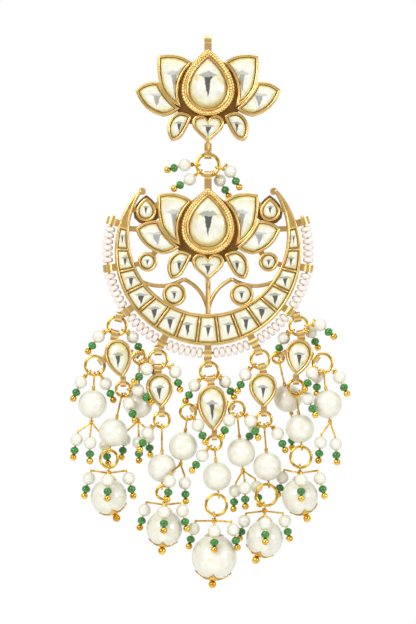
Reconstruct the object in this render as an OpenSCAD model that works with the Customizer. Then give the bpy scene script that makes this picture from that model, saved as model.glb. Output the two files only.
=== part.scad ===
// Chandbali earring. Millimetres, +Z up, front faces -Y, origin at the base of the ear post.

/* [Crescent] */
// Radius of the crescent's outer edge
rim_r = 19.4; // [18:0.1:21]
// Width of the crescent at its bottom
crescent_w = 6.54; // [6.2:0.02:7]
// How far the inner circle's centre sits above the outer one
inner_rise = 3.64; // [3:0.05:4]
// Angle of the horns above the horizontal
horn_angle = 43; // [35:1:46]
// Number of stones in the band
band_count = 15; // [9:1:19]
// Gap between the crescent's edge and the seed beads
seed_gap = 0.5; // [0.4:0.05:0.9]

/* [Setting metal] */
// Thickness of the closed-back settings
frame_t = 2.4; // [2:0.1:3]
// Metal left behind each stone
back_t = 0.8; // [0.6:0.05:1]
// Width of the metal rim round a stone
rim_w = 0.5; // [0.35:0.05:0.7]
// Width of the rope border round the middle drop
rope_w = 1.45; // [1:0.05:1.7]
// Extra height of the middle drop's setting
rope_rise = 0.8; // [0.4:0.05:1.2]
// Side gap between a stone and its rim
seat_gap = 0.1; // [0.06:0.01:0.15]

/* [Lotus] */
// Width of the middle drop's setting
drop_w = 11; // [10:0.1:11.4]
// Height of the middle drop's setting
drop_h = 13.9; // [13:0.1:14.5]
// Width of the heart setting
heart_w = 6.7; // [6:0.1:7]
// Height of the heart setting
heart_h = 6.1; // [5.5:0.1:6.4]
// Height of a stone above its girdle
crown_h = 0.75; // [0.4:0.05:1]

/* [Rings and pins] */
// Mean radius of the ring between stud and crescent
link_r = 2.3; // [2.2:0.05:2.6]
// Wire radius of the ring between stud and crescent
link_wire = 0.36; // [0.3:0.01:0.4]
// Mean radius of the rings above the pear drops
pear_ring_r = 1.9; // [1.8:0.05:2.2]
// Wire radius of the jump rings
ring_wire = 0.3; // [0.25:0.01:0.32]
// Bore radius of the tabs
tab_bore = 0.62; // [0.6:0.01:0.7]
// Wall of the tabs
tab_wall = 0.42; // [0.35:0.01:0.5]
// Width of the tabs along the bore
tab_w = 1.5; // [1.2:0.05:1.6]
// Radius of the pin wire
pin_r = 0.2; // [0.16:0.01:0.22]
// Mean radius of the pins' eyes
eye_r = 0.64; // [0.62:0.01:0.7]

/* [Pearls] */
// Radius of the pearls in the strands
mid_r = 3; // [2.7:0.05:3.1]
// Radius of the small pearls
small_r = 1.35; // [1.2:0.05:1.4]
// Radius of the seed beads
seed_r = 1.1; // [0.9:0.05:1.2]
// Radius of the gold balls
ball_r = 0.72; // [0.5:0.02:0.8]
// Clearance between a pearl's bore and its pin
bore_gap = 0.12; // [0.1:0.01:0.2]

/* [Ear post] */
// Length of the ear post
post_l = 10.5; // [9:0.1:12]
// Radius of the ear post
post_r = 0.42; // [0.35:0.01:0.5]

/* [Hidden] */
$fn = 28;
mid_y = 1.3;                          // depth of the plane that rings and strands hang in
stud_z = 7.84 - drop_h / 2;           // middle of the stud's drop
heart_at = [0, -drop_h / 2 - 2.8];    // middle of the heart from the middle of the drop
stud_tab = [0, heart_foot(stud_z) - 1.99]; // bore of the stud's lower tab
link_c = stud_tab - [0, link_r];
chand_tab = link_c - [0, link_r];
lotus_z = chand_tab.y - 2.5 - drop_h / 2;
moon = [0, chand_tab.y - 15.94];      // centre of the crescent's outer circle
inner_r = rim_r + inner_rise - crescent_w;
inner_c = moon + [0, inner_rise];     // centre of the crescent's inner circle
string_r = rim_r + seed_gap + seed_r;
collar_step = 27;
collar_first = 162;
collar_count = 9;
collar_w = 4.2;                       // degrees of arc that a collar covers
lug_reach = 1.95;                     // seed string to the bores under the lower collars
tab_out = tab_bore + tab_wall;
eye_wire = pin_r * 1.12;
sink = 0.2;                           // overlap of soldered parts
join = 1.3;                           // how far the drop's back plate runs under the petals
front = frame_t + crown_h;

// columns: collar angle, lean of its ring, lean of the pear, width, length
PEARS = [
  [216, -13, 10, 5.6, 8.2],
  [243,   0,  5, 5.6, 7.3],
  [270,   8,  4, 6.2, 9.7],
  [297,  14,  2, 5.8, 7.3],
  [324,  12, -6, 5.6, 7.6]];

// columns: pear, side (-1 left, 0 bottom, 1 right), lean of the ring, ring radius, pearl x, y, z
STRANDS = [
  [0, -1, -55, 2.0, -24.1,  1.3, -66.1],
  [0,  0,   0, 1.5, -19.8,  1.3, -72.0],
  [0,  1,  52, 1.2, -14.6, -1.0, -66.2],
  [1,  0,   0, 1.6,  -9.6,  1.3, -79.4],
  [2, -1, -60, 1.6,  -5.2,  1.3, -74.9],
  [2,  1,  60, 1.6,   6.9,  1.3, -76.2],
  [2,  0,   0, 1.5,   1.9,  1.3, -81.2],
  [3,  0,   0, 1.6,  12.4,  1.3, -79.1],
  [4,  0,   0, 1.6,  19.2,  1.3, -71.2],
  [4,  1,  55, 2.0,  25.0,  1.3, -66.1],
  [4, -1, -50, 1.1,  16.8, -2.2, -65.0]];

// columns: strand, pearl x, z, radius, lean, neck above the pearl, crown reach, crown height,
// and the way that each of the crown's three dangles points (0 to the front, 90 to the right)
BOTTOMS = [
  [1, -20.7, -85.4, 3.8,  20, 1.7, 4.15, 3.8, [-90, 0, 90]],
  [3,  -9.1, -92.0, 3.8,  -6, 1.7, 4.15, 3.8, [-90, 0, 66]],
  [6,   1.3, -98.0, 4.75, -4, 3.4, 4.3, 5.9, [-90, 0, 66]],
  [7,  11.8, -94.1, 3.9, -22, 2.4, 4.25, 3.6, [-90, 0, 90]],
  [8,  19.2, -85.4, 3.8,  18, 1.7, 4.15, 3.8, [-120, 0, 90]]];

// Small dangles. columns: kind of ring (0 link, 1 pear, 2 strand), its number, then in degrees
// the place round the ring from down, the forward lean, and the lean of the hanging end
DANGLES = [
  [0, 0, -90, 0, -75], [0, 0, -52, 0, -60], [0, 0, 39, -50, 30], [0, 0, 74, 0, 30],
  [1, 0, -60, 0, -35], [1, 0, 54, -35, 30], [1, 1, -50, 65, -45], [1, 1, 54, 0, 15],
  [1, 2, -46, -20, -30], [1, 2, 56, -35, 30], [1, 3, -44, 0, -25], [1, 4, -50, -35, -25],
  [1, 4, 64, -66, 25], [1, 4, 93, 0, 50], [2, 0, -40, 0, -25], [2, 0, 30, -20, 25],
  [2, 2, 54, -66, 40], [2, 1, 24, 50, 20], [2, 1, 88, 50, 50], [2, 3, -48, 20, -25],
  [2, 4, 38, 44, 24], [2, 5, -37, 65, -25], [2, 5, 50, 35, 25], [2, 6, -44, 35, -35],
  [2, 7, -50, -66, -24], [2, 7, 44, 0, 25], [2, 9, -50, 65, -25], [2, 9, 50, 0, 25],
  [2, 9, -20, -66, 0], [2, 8, 46, 50, 25]];

// End clusters. columns: strand, then across, down and forward of each small pearl from the hub
CLUSTERS = [
  [0, [[-3.1, 3.6, 0], [-0.2, 4.2, 1.2], [2.7, 5.1, -3]]],
  [2, [[-2.9, 4.0, -1.4], [0.2, 4.4, 1.4], [2.1, 3.4, -0.6]]],
  [4, [[-2.2, 3.2, 3.4], [0.9, 3.9, 0.4]]],
  [5, [[-1.6, 4.3, -0.6], [0.4, 3.5, 1.6], [2.9, 3.6, -2.2]]],
  [9, [[-2.0, 4.2, 0.4], [1.2, 4.6, -0.4]]],
  [10, [[0.1, 3.4, 0]]]];

crown_lean = 15;
green_step = 2.3;                     // small pearl to green seed along the pin
ball_step = 3.75;                     // small pearl to gold ball along the pin
hang = 2.55;                          // ring wire to small pearl
cluster_neck = 0.8;

// Points and shapes. Flat points are [across, up].
function lean2(a) = [sin(a), -cos(a)];
function unit(v) = v / norm(v);
function at3(p, y = mid_y) = [p.x, -y, p.y];
function flat(p) = [p.x, p.z];
function bow(a, b, h, n = 4) = let (d = b - a, o = [d.y, -d.x] / norm(d))
  [for (i = [0:n - 1]) let (t = i / n) a + d * t + o * h * 4 * t * (1 - t)];
function mirrored(pts) = [for (i = [len(pts) - 1:-1:0]) [-pts[i].x, pts[i].y]];
function side(pts, s) = s > 0 ? pts : mirrored(pts);
function moved(pts, v) = [for (p = pts) p + v];
function turned(pts, a) = [for (p = pts) [p.x * cos(a) - p.y * sin(a), p.x * sin(a) + p.y * cos(a)]];
function middle(pts, i = 0) = i == len(pts) ? [0, 0] : pts[i] / len(pts) + middle(pts, i + 1);
function scaled(pts, s, off = [0, 0]) = let (c = middle(pts) + off) [for (p = pts) c + (p - c) * s];
function inset(pts, d) = let (n = len(pts)) [for (i = [0:n - 1])
  let (e = unit(pts[i] - pts[(i + n - 1) % n]), f = unit(pts[(i + 1) % n] - pts[i]),
       a = [-e.y, e.x], b = [-f.y, f.x]) pts[i] + d * (a + b) / (1 + a * b)];
function drop(w, h, n = 20) = [for (i = [0:n - 1]) let (t = i * 360 / n)
  [-w / 2 * sin(t) * abs(sin(t / 2)) / 0.77, h / 2 * (cos(t) + 0.12 * sin(t) * sin(t))]];
function heart(w, h, n = 20) = [for (i = [0:n - 1]) let (t = -i * 360 / n)
  [w / 2 * pow(sin(t), 3), h * (13 * cos(t) - 5 * cos(2 * t) - 2 * cos(3 * t) - cos(4 * t) + 2.5) / 29]];
function disc(r, n = 14) = [for (i = [0:n - 1]) r * [cos(i * 360 / n), sin(i * 360 / n)]];

// Corners of the lotus's right-hand petals and leaf, from the middle of its drop: shares of the
// drop's width and height, then the bow of the side that follows as a share of the height
UPPER = [[0.3, 0.302, -0.108], [0.518, -0.367, 0.036], [0.891, -0.086, 0.025], [0.945, 0.396, 0.065]];
SIDE = [[0.936, 0.007, -0.036], [0.536, -0.388, 0.022], [0.864, -0.496, 0.079], [1.373, -0.115, 0.043]];
LEAF = [[0.31, -0.505, 0.007], [0.455, -0.748, 0.036], [0.7, -0.863, 0.029], [0.755, -0.619, 0.029],
  [0.555, -0.446, 0.022]];
function share(p) = [p[0] * drop_w, p[1] * drop_h];
function petal(t) = [for (i = [0:len(t) - 1])
  each bow(share(t[i]), share(t[(i + 1) % len(t)]), t[i][2] * drop_h)];
upper_petal = petal(UPPER);
side_petal = petal(SIDE);
leaf = petal(LEAF);
function heart_foot(z) = z + heart_at.y - heart_h / 2;
// How far across the crescent's inner edge lies at a height
function inner_x(z) = sqrt(inner_r * inner_r - pow(z - inner_c.y, 2));
corner_z = lotus_z + 2.45;
corner_at = [inner_x(corner_z) - 2.73, corner_z];
// Round stones. columns: angle from the inner circle's centre, radius, gap to the inner edge
ROUNDS = [[-24, 2.0, 0.71], [-60.5, 2.45, -0.19]];
function round_c(r, s) = inner_c + (inner_r - r[1] - r[2]) * [s * cos(r[0]), sin(r[0])];
function lotus_shapes() = [for (s = [-1, 1]) for (p = [upper_petal, side_petal, leaf]) side(p, s)];
function drop_stone() = drop(drop_w - 2 * rope_w - 2 * seat_gap, drop_h - 2 * rope_w - 2 * seat_gap);
function heart_inner(g) = moved(heart(heart_w - 2 * g, heart_h - 2 * g), heart_at);
function corner(s, g) = moved(drop(4.2 - 2 * g, 4.9 - 2 * g, 14), [s * corner_at.x, corner_at.y]);
function sector(a0, a1, ro, ri, n = 3) = concat(
  [for (i = [0:n]) let (a = a0 + (a1 - a0) * i / n) moon + ro * [cos(a), sin(a)]],
  [for (i = [n:-1:0]) let (a = a0 + (a1 - a0) * i / n) moon + (inner_at(a) + ri) * [cos(a), sin(a)]]);
function inner_at(a) = inner_rise * sin(a) + sqrt(inner_r * inner_r - pow(inner_rise * cos(a), 2));
band_from = 164;
band_step = (540 - 2 * band_from) / band_count;
bar = 1.4;                            // degrees of arc that a bar between two band stones covers
function band_cell(i) = sector(band_from + band_step * i + bar / 2, band_from + band_step * (i + 1) - bar / 2,
  rim_r - rim_w, rim_w);
function ribbon(p, w) = let (n = len(p), o = [for (i = [0:n - 1])
  let (d = unit(p[min(i + 1, n - 1)] - p[max(i - 1, 0)])) [d.y, -d.x] * w / 2])
  concat([for (i = [0:n - 1]) p[i] + o[i]], [for (i = [n - 1:-1:0]) p[i] - o[i]]);
function curl(a, b, h, n = 8) = [for (i = [0:n]) let (t = i / n, d = b - a)
  a + d * t + [d.y, -d.x] / norm(d) * h * 4 * t * (1 - t)];

module upright() { rotate([90, 0, 0]) children(); }
module slab(pts, h, z0 = 0) { translate([0, 0, z0]) linear_extrude(h) polygon(pts); }
module rod(a, b, r) {
  v = b - a;
  translate(a) rotate([0, acos(v.z / norm(v)), atan2(v.y, v.x)]) cylinder(h = norm(v), r = r);
}
// A ball whose poles lie along d, with its seam turned off that of a rod on the same line
module ball(c, r, d = [0, 0, 1]) {
  translate(c) rotate([0, acos(d.z), atan2(d.y, d.x)]) rotate([0, 0, 45]) sphere(r);
}
module ring(c, r, w) { translate(at3(c)) rotate([90, 0, 0]) rotate_extrude() translate([r, 0]) circle(w); }
// A pin's eye round the wire of a ring, turned to the pin's way from the ring
module eye(c, a) {
  translate(c) rotate([0, -a, 0]) rotate([0, 90, 0]) rotate_extrude() translate([eye_r, 0]) circle(eye_wire);
}
// A rolled tab whose bore crosses the way that its ring hangs
module tab(c, a, stem, w = tab_w) {
  difference() {
    translate(at3(c)) rotate([0, -a, 0]) union() {
      rotate([0, 90, 0]) cylinder(h = w, r = tab_out, center = true);
      translate([-w / 2, -tab_out * 0.8, 0]) cube([w, tab_out * 1.6, stem]);
    }
    tab_hole(c, a);
  }
}
module tab_hole(c, a) {
  translate(at3(c)) rotate([0, -a, 0]) rotate([0, 90, 0]) cylinder(h = tab_w + 1, r = tab_bore, center = true);
}
module drilled(c, r, dir, bore) {
  translate(c) rotate([0, acos(dir.z), atan2(dir.y, dir.x)]) rotate_extrude() intersection() {
    circle(r);
    translate([bore, -r]) square(2 * r);
  }
}
// A stone with a flat back, a straight girdle, two rows of facets and a table, which lies off the middle
// by off on a stone with a hollow side
module cut_stone(pts, h = front, seat = back_t + 0.1, off = [0, 0]) {
  n = len(pts);
  girdle = seat + (h - seat) * 0.58;
  levels = [[seat, 0.97], [girdle, 1], [girdle + (h - girdle) * 0.62, 0.84], [h, 0.6]];
  upright() polyhedron(
    points = [for (l = levels) for (p = scaled(pts, l[1], off)) [p.x, p.y, l[0]]],
    faces = concat([[for (i = [0:n - 1]) i]], [[for (i = [n - 1:-1:0]) 3 * n + i]],
      [for (k = [0:2]) for (i = [0:n - 1]) let (j = (i + 1) % n) [k * n + i, (k + 1) * n + i, (k + 1) * n + j]],
      [for (k = [0:2]) for (i = [0:n - 1]) let (j = (i + 1) % n) [k * n + i, (k + 1) * n + j, k * n + j]]));
}

// The lotus of a setting, with a closed-back pocket for each stone
module lotus_metal(z) {
  translate([0, z, 0]) {
    for (p = lotus_shapes()) slab(p, frame_t);
    slab(moved(heart(heart_w, heart_h), heart_at), frame_t);
    slab(drop(drop_w, drop_h), frame_t + rope_rise);
    slab(moved(drop(drop_w + 2 * join, drop_h + join), [0, -join / 2]), back_t);
    slab(ribbon([for (p = [[-0.75, -0.14], [-0.36, -0.55], [0, -0.59], [0.36, -0.55], [0.75, -0.14]]) share(p)],
      1.6), back_t);
  }
}
module lotus_pockets(z) {
  h = frame_t + rope_rise;
  translate([0, z, 0]) {
    for (p = lotus_shapes()) slab(inset(p, rim_w), h, back_t);
    slab(heart_inner(rim_w), h, back_t);
    slab(drop(drop_w - 2 * rope_w, drop_h - 2 * rope_w), h, back_t);
  }
}

module stud_metal() {
  top = [0, 9.75];
  difference() {
    union() {
      difference() {
        upright() lotus_metal(stud_z);
        upright() lotus_pockets(stud_z);
      }
      tab(stud_tab, 0, 2.2);
      tab(top, 180, 2.4);
      rotate([-90, 0, 0]) cylinder(h = post_l, r = post_r);
      translate([0, -sink, 0]) rotate([-90, 0, 0]) cylinder(h = sink + 0.5, r = 1.2);
    }
    tab_hole(stud_tab, 0);
    tab_hole(top, 180);
  }
}
module stud_frame() { color("#d8b25a") stud_metal(); }

module shape_stone(pts, z, h = front, off = [0, 0]) {
  color("#f2ead2") cut_stone(moved(pts, [0, z]), h, off = off);
}
module stone_drop(z) { shape_stone(drop_stone(), z, front + rope_rise); }
module stone_heart(z) { shape_stone(heart_inner(rim_w + seat_gap), z); }
table_off = 0.08 * drop_w;            // how far a petal's table lies to the side of its middle
module stone_upper(s, z) {
  shape_stone(inset(side(upper_petal, s), rim_w + seat_gap), z, off = [s * table_off, 0]);
}
module stone_side(s, z) {
  shape_stone(inset(side(side_petal, s), rim_w + seat_gap), z, off = [s * table_off, 0]);
}
module stone_leaf(s, z) { shape_stone(inset(side(leaf, s), rim_w + seat_gap), z); }

module link_ring() { color("#f2c230") ring(link_c, link_r, link_wire); }

module collar(a) {
  translate([moon.x, moon.y, mid_y]) rotate([0, 0, a - collar_w / 2]) difference() {
    rotate_extrude(angle = collar_w) {
      translate([string_r, 0]) circle(1.2);
      translate([rim_r - sink - 0.3, -0.8]) square([seed_gap + sink + 0.8, 1.6]);
    }
    rotate([0, 0, -2]) rotate_extrude(angle = collar_w + 4) translate([string_r, 0]) circle(0.45);
  }
}
function collar_angle(i) = collar_first + collar_step * i;
function lug_at(i) = moon + (string_r + lug_reach) * [cos(PEARS[i][0]), sin(PEARS[i][0])];
// A lower collar's lug: its bore follows the lean of the ring, its neck points at the collar
module lug(i) {
  translate(at3(lug_at(i))) {
    rotate([0, -PEARS[i][1], 0]) rotate([0, 90, 0]) cylinder(h = tab_w, r = tab_out, center = true);
    rotate([0, 270 - PEARS[i][0], 0]) translate([-0.6, -0.8, 0]) cube([1.2, 1.6, lug_reach - 0.55]);
  }
}
module crescent_plate() {
  linear_extrude(frame_t) difference() {
    translate(moon) circle(rim_r, $fn = 96);
    translate(inner_c) circle(inner_r, $fn = 96);
    polygon([moon, moon + 60 * lean2(90 + horn_angle), moon + [0, 80], moon + 60 * lean2(-90 - horn_angle)]);
  }
}
module crescent_metal() {
  brace_t = frame_t * 0.8;
  horn_r = 0.7;
  curl_t = frame_t * 0.7;
  foot = inner_c.y - inner_r;
  curl_z = foot + 7.3;
  crescent_plate();
  lotus_metal(lotus_z);
  for (s = [-1, 1]) {
    slab(corner(s, 0), frame_t);
    slab(corner(s, -0.65), back_t);
    translate(moon + (rim_r - horn_r) * [s * cos(horn_angle), sin(horn_angle)])
      cylinder(h = frame_t, r = horn_r);
    slab(ribbon([[s * 14.2, corner_z], [s * (inner_x(corner_z) + 0.5), corner_z]], 1), brace_t);
    slab(ribbon([[s * 0.89 * drop_w, corner_z + 1.6], [s * 12.6, corner_z - 0.6]], 1.1), brace_t);
    slab(ribbon([[s * 1.31 * drop_w, lotus_z - 1.6], [s * (inner_x(lotus_z - 1.5) + 0.5), lotus_z - 1.5]], 1.1),
      brace_t);
    slab(ribbon([round_c(ROUNDS[0], s) + [s * 1.2, -0.2], round_c(ROUNDS[0], s) + [s * 3.4, -0.8]], 1),
      brace_t);
    slab(ribbon([[s * 0.96 * drop_w, lotus_z - 0.41 * drop_h], round_c(ROUNDS[0], s) + [-s * 0.6, 0.8]], 1.1),
      brace_t);
    slab(ribbon(curl([s * 0.2, foot + 1.5], [s * 5, curl_z], s * -0.9), 0.8), curl_t);
    slab(ribbon(curl([s * 5, curl_z], [s * (inner_x(curl_z - 0.6) + 0.4), curl_z - 0.6], s * 1.1), 0.8),
      curl_t);
    for (r = ROUNDS) translate(round_c(r, s)) cylinder(h = frame_t, r = r[1]);
  }
  slab(ribbon([[0, heart_foot(lotus_z) + 1.35], [0, foot - 0.7]], 1), brace_t);
}
module crescent_pockets() {
  lotus_pockets(lotus_z);
  for (s = [-1, 1]) {
    slab(corner(s, rim_w), frame_t, back_t);
    for (r = ROUNDS) translate([0, 0, back_t]) translate(round_c(r, s)) cylinder(h = frame_t, r = r[1] - rim_w);
  }
  for (i = [0:band_count - 1]) slab(band_cell(i), frame_t, back_t);
}
module chand_frame() {
  color("#d8b25a") difference() {
    union() {
      difference() {
        upright() crescent_metal();
        upright() crescent_pockets();
      }
      upright() for (i = [0:collar_count - 1]) collar(collar_angle(i));
      for (i = [0:4]) lug(i);
      tab(chand_tab, 180, 3);
    }
    tab_hole(chand_tab, 180);
    for (i = [0:4]) tab_hole(lug_at(i), PEARS[i][1]);
  }
}
module chand_corner_stones() {
  color("#f2ead2") for (s = [-1, 1]) cut_stone(corner(s, rim_w + seat_gap));
}
module chand_round_stones() {
  color("#f2ead2") for (s = [-1, 1]) for (r = ROUNDS)
    cut_stone(moved(disc(r[1] - rim_w - seat_gap), round_c(r, s)));
}
module band_stones() {
  color("#f2ead2") for (i = [0:band_count - 1]) cut_stone(inset(band_cell(i), seat_gap), frame_t + 0.5);
}
module seed_string() {
  clear = 0.9;
  color("#f4e6dc") upright() translate([moon.x, moon.y, mid_y]) {
    rotate([0, 0, collar_first - 3.6]) rotate_extrude(angle = collar_step * 8 + 7.2)
      translate([string_r, 0]) circle(0.3);
    for (i = [0:7]) rotate([0, 0, collar_angle(i) + collar_w / 2 + clear])
      rotate_extrude(angle = collar_step - collar_w - 2 * clear) translate([string_r, 0]) circle(seed_r);
  }
}

// The five pear drops under the crescent
function pear_ring_c(i) = lug_at(i) + pear_ring_r * lean2(PEARS[i][1]);
function pear_top(i) = pear_ring_c(i) + pear_ring_r * lean2(PEARS[i][1]);
function pear_c(i) = pear_top(i) + (0.95 + PEARS[i][4] / 2) * lean2(PEARS[i][2]);
function pear_out(i, g) = moved(turned([for (p = drop(PEARS[i][3] - 2 * g, PEARS[i][4] - 2 * g, 16)) -p],
  PEARS[i][2]), pear_c(i));
function pear_lug(i, s) = pear_c(i) + turned([s == 0 ? [0, -PEARS[i][4] / 2 - 0.85]
  : [s * (PEARS[i][3] / 2 + 0.62), 0.3]], PEARS[i][2])[0];
function strand_tabs(i) = [for (t = STRANDS) if (t[0] == i) t];
module pear_rings() { color("#f2c230") for (i = [0:4]) ring(pear_ring_c(i), pear_ring_r, ring_wire); }
module pear_setting(i) {
  color("#d8b25a") difference() {
    union() {
      difference() {
        upright() slab(pear_out(i, 0), frame_t);
        upright() slab(pear_out(i, rim_w), frame_t, back_t);
      }
      tab(pear_top(i), 180 + PEARS[i][1], 1.2);
      for (t = strand_tabs(i)) tab(pear_lug(i, t[1]), t[2], 1.15, tab_w * t[3] / 2);
    }
    tab_hole(pear_top(i), PEARS[i][1]);
    for (t = strand_tabs(i)) tab_hole(pear_lug(i, t[1]), t[2]);
  }
}
module pear_stones() {
  color("#f2ead2") for (i = [0:4]) cut_stone(pear_out(i, rim_w + seat_gap));
}

// The strands: a ring, then a pearl on its pin, then a second ring or an end cluster
function strand_ring_c(t) = pear_lug(t[0], t[1]) + t[3] * lean2(t[2]);
function strand_mid(t) = [t[4], -t[5], t[6]];
function strand_eye(t) = let (c = strand_ring_c(t)) at3(c + t[3] * unit(flat(strand_mid(t)) - c));
function strand_way(t) = unit(strand_mid(t) - strand_eye(t));
function strand_end(t) = strand_mid(t) + strand_way(t) * (mid_r + cluster_neck);
function lean_of(v) = atan2(v.x, -v.z);
function bottom_of(k) = [for (b = BOTTOMS) if (b[0] == k) b];
function cluster_of(k) = [for (c = CLUSTERS) if (c[0] == k) c[1]];
module strand_rings() { color("#f2c230") for (t = STRANDS) ring(strand_ring_c(t), t[3], ring_wire); }
module mid_pearls(from, to) {
  color("#f3ecd8") for (k = [from:to]) let (t = STRANDS[k])
    drilled(strand_mid(t), mid_r, strand_way(t), pin_r + bore_gap);
}
// A small pearl's wire: arm to the knee, then down through pearl and seed to the gold ball
function knee(w, d) = w - d * (small_r + 0.35);
module hanging_wire(a, w, d) {
  rod(a, knee(w, d), pin_r);
  ball(knee(w, d), pin_r * 1.25, d);
  rod(knee(w, d), w + d * ball_step, pin_r);
  ball(w + d * ball_step, ball_r, d);
}
function cluster_pearl(k, p) = strand_end(STRANDS[k]) + [p.x, -p.z, -p.y];
function cluster_way(p) = unit([p.x * 0.06, -p.z * 0.02, -1]);
module mid_pin(k) {
  t = STRANDS[k];
  w = strand_way(t);
  eye(strand_eye(t), lean_of(w));
  rod(strand_eye(t) + w * eye_r, strand_end(t) - w * (len(bottom_of(k)) > 0 ? eye_r : 0), pin_r);
  if (len(bottom_of(k)) > 0) eye(strand_end(t), lean_of(w));
  else ball(strand_end(t), pin_r * 1.8);
  for (c = cluster_of(k)) for (p = c) hanging_wire(strand_end(t), cluster_pearl(k, p), cluster_way(p));
}
module mid_pins(from, to) { color("#f2c230") for (k = [from:to]) mid_pin(k); }
module cluster_pearls() {
  color("#f3ecd8") for (c = CLUSTERS) for (p = c[1])
    drilled(cluster_pearl(c[0], p), small_r, cluster_way(p), pin_r + bore_gap);
}

// The five bottom pearls, each with a cap, a ball, and a crown of three small dangles
function bottom_c(b) = [b[1], -mid_y, b[2]];
function bottom_way(b) = at3(lean2(b[4]), 0);
function bottom_eye(b) = bottom_c(b) + [0, 0, b[3] + b[5] + 0.6];
function hub(b) = bottom_c(b) + [0, 0, b[3] + b[5] - 0.6];
function ring_span(b) = let (e = strand_end(STRANDS[b[0]])) bottom_eye(b) - e;
module drop_rings() {
  color("#f2c230") for (b = BOTTOMS) let (e = strand_end(STRANDS[b[0]]), s = ring_span(b))
    ring(flat(e + s / 2), norm(flat(s)) / 2, ring_wire);
}
function crown_out(a) = [sin(a), -cos(a), 0];
function crown_pearl(b, a) = bottom_c(b) + crown_out(a) * b[6] + [0, 0, b[7]];
function crown_way(a) = unit(crown_out(a) * sin(crown_lean) - [0, 0, cos(crown_lean)]);
module bottom_pearl(i) {
  b = BOTTOMS[i];
  c = bottom_c(b);
  bore = pin_r + 0.05 + bore_gap;
  color("#f3ecd8") difference() {
    ball(c, b[3], unit([1, -1, 0]));
    rod(c, c + [0, 0, b[3] + 1], bore);
    rod(c, c + bottom_way(b) * (b[3] + 1), bore);
    ball(c, bore * 1.25);
  }
}
module bottom_pin(i) {
  b = BOTTOMS[i];
  c = bottom_c(b);
  d = bottom_way(b);
  r = pin_r + 0.05;
  color("#f2c230") {
    eye(bottom_eye(b), 180 - lean_of(ring_span(b)));
    rod(c, bottom_eye(b) - [0, 0, eye_r], r);
    ball(c, r * 1.25);
    rod(c, c + d * (b[3] + 0.6), r);
    ball(c + d * (b[3] + 0.12 + ball_r * 1.15), ball_r * 1.15, d);
    translate(c + [0, 0, b[3] + 0.12]) cylinder(h = 0.7, r1 = 1.5, r2 = 0.5, $fn = 24);
    ball(hub(b), pin_r * 1.8);
    for (a = b[8]) hanging_wire(hub(b), crown_pearl(b, a), crown_way(a));
  }
}
module crown_pearls() {
  color("#f3ecd8") for (b = BOTTOMS) for (a = b[8])
    drilled(crown_pearl(b, a), small_r, crown_way(a), pin_r + bore_gap);
}

// Small dangles on the rings
function host(d) = d[0] == 0 ? [link_c, link_r] : d[0] == 1 ? [pear_ring_c(d[1]), pear_ring_r]
  : [strand_ring_c(STRANDS[d[1]]), STRANDS[d[1]][3]];
function dangle_eye(d) = let (h = host(d)) at3(h[0] + h[1] * lean2(d[2]));
function dangle_arm(d) = [sin(d[2]) * cos(d[3]), -sin(d[3]), -cos(d[2]) * cos(d[3])];
function dangle_pearl(d) = dangle_eye(d) + dangle_arm(d) * hang;
function dangle_way(d) = unit([sin(d[4]), -sin(d[3] / 4), -cos(d[4])]);
module dangle_pins() {
  color("#f2c230") for (d = DANGLES) {
    eye(dangle_eye(d), d[2]);
    hanging_wire(dangle_eye(d) + dangle_arm(d) * eye_r, dangle_pearl(d), dangle_way(d));
  }
}
module dangle_pearls() {
  color("#f3ecd8") for (d = DANGLES) drilled(dangle_pearl(d), small_r, dangle_way(d), pin_r + bore_gap);
}

stud_frame();
stone_drop(stud_z);  // stud_drop_stone
stone_upper(-1, stud_z);  // stud_petal_upper_left
stone_upper(1, stud_z);  // stud_petal_upper_right
stone_side(-1, stud_z);  // stud_petal_side_left
stone_side(1, stud_z);  // stud_petal_side_right
stone_heart(stud_z);  // stud_heart_stone
stone_leaf(-1, stud_z);  // stud_leaf_left
stone_leaf(1, stud_z);  // stud_leaf_right
link_ring();
chand_frame();
stone_drop(lotus_z);  // chand_drop_stone
stone_upper(-1, lotus_z);  // chand_petal_upper_left
stone_upper(1, lotus_z);  // chand_petal_upper_right
stone_side(-1, lotus_z);  // chand_petal_side_left
stone_side(1, lotus_z);  // chand_petal_side_right
stone_heart(lotus_z);  // chand_heart_stone
stone_leaf(-1, lotus_z);  // chand_leaf_left
stone_leaf(1, lotus_z);  // chand_leaf_right
chand_corner_stones();
chand_round_stones();
band_stones();
seed_string();
pear_rings();
strand_rings();
pear_setting(0);  // pear_setting_1
pear_setting(1);  // pear_setting_2
pear_setting(2);  // pear_setting_3
pear_setting(3);  // pear_setting_4
pear_setting(4);  // pear_setting_5
pear_stones();
mid_pearls(0, 4);  // mid_pearls_left
mid_pearls(5, 10);  // mid_pearls_right
mid_pins(0, 4);  // mid_pins_left
mid_pins(5, 10);  // mid_pins_right
drop_rings();
bottom_pearl(0);  // bottom_pearl_1
bottom_pearl(1);  // bottom_pearl_2
bottom_pearl(2);  // bottom_pearl_3
bottom_pearl(3);  // bottom_pearl_4
bottom_pearl(4);  // bottom_pearl_5
bottom_pin(0);  // bottom_pin_1
bottom_pin(1);  // bottom_pin_2
bottom_pin(2);  // bottom_pin_3
bottom_pin(3);  // bottom_pin_4
bottom_pin(4);  // bottom_pin_5
dangle_pearls();
dangle_pins();
cluster_pearls();
crown_pearls();
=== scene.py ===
"""Looks of a chandbali earring: gold, foil-backed stones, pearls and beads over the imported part."""

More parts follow.
